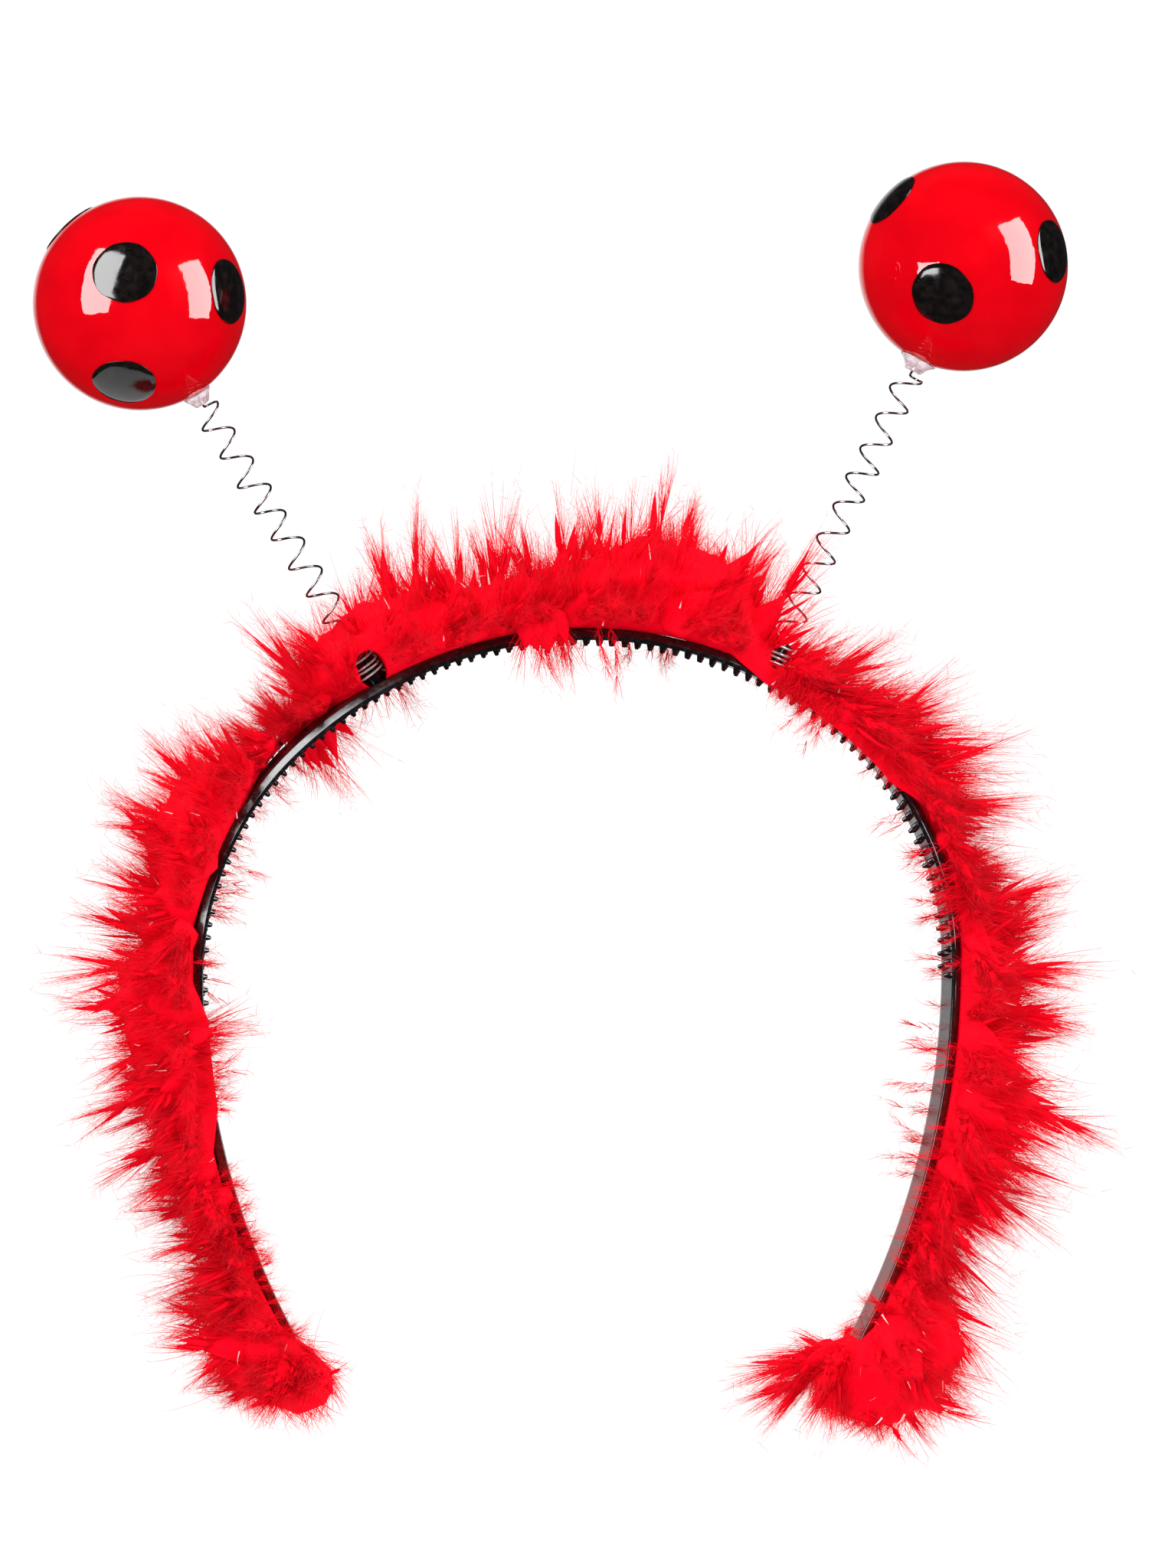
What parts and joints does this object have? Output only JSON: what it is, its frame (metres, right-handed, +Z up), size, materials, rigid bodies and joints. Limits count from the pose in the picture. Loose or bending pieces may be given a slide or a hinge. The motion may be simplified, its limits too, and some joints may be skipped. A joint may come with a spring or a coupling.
{
  "type": "headband with ball antennae",
  "caption": "Comb headband trimmed with marabou feathers, with two dotted balls bobbing on coil springs as ladybug antennae.",
  "frame": {"origin": "middle of the band's inner face at its crown, where it sits on the head", "axes": "+Z up through the crown, +X towards the right leg in the front view, -Y towards the front"},
  "size_m": [0.2007, 0.0452, 0.2417],
  "materials": {
    "black_plastic": "gloss black moulded plastic",
    "red_plastic": "high-gloss red plastic",
    "black_ink": "gloss black dots",
    "steel_wire": "bright drawn spring wire",
    "clear_glue": "cloudy clear hot-melt glue",
    "red_down": "dyed red marabou down"
  },
  "bodies": {
    "headband": {"band": "black_plastic", "feather_trim": "red_down"},
    "left_spring": {"spring_left": "steel_wire"},
    "left_ball": {"ball_left": "red_plastic", "glue_left": "clear_glue", "dot_left_1": "black_ink", "dot_left_2": "black_ink", "dot_left_3": "black_ink", "dot_left_4": "black_ink", "dot_left_5": "black_ink", "dot_left_6": "black_ink", "dot_left_7": "black_ink"},
    "right_spring": {"spring_right": "steel_wire"},
    "right_ball": {"ball_right": "red_plastic", "glue_right": "clear_glue", "dot_right_1": "black_ink", "dot_right_2": "black_ink", "dot_right_3": "black_ink", "dot_right_4": "black_ink", "dot_right_5": "black_ink", "dot_right_6": "black_ink", "dot_right_7": "black_ink"}
  },
  "joints": [
    {"name": "left_sway", "type": "hinge", "parent": "headband", "child": "left_spring", "pos_m": [-0.0407, 0, -0.0017], "axis": [0, -1, 0], "range_deg": [-25, 20], "stiffness_Nm_per_rad": 0.006, "springref_deg": -5.96, "deforming": ["spring_left"]},
    {"name": "left_nod", "type": "hinge", "parent": "left_spring", "child": "left_ball", "pos_m": [-0.0407, 0, -0.0017], "axis": [1, 0, 0], "range_deg": [-30, 30], "stiffness_Nm_per_rad": 0.006, "deforming": ["spring_left"]},
    {"name": "right_sway", "type": "hinge", "parent": "headband", "child": "right_spring", "pos_m": [0.0408, 0, -0.0018], "axis": [0, 1, 0], "range_deg": [-25, 20], "stiffness_Nm_per_rad": 0.006, "springref_deg": -5.44, "deforming": ["spring_right"]},
    {"name": "right_nod", "type": "hinge", "parent": "right_spring", "child": "right_ball", "pos_m": [0.0408, 0, -0.0018], "axis": [1, 0, 0], "range_deg": [-30, 30], "stiffness_Nm_per_rad": 0.006, "deforming": ["spring_right"]}
  ]
}
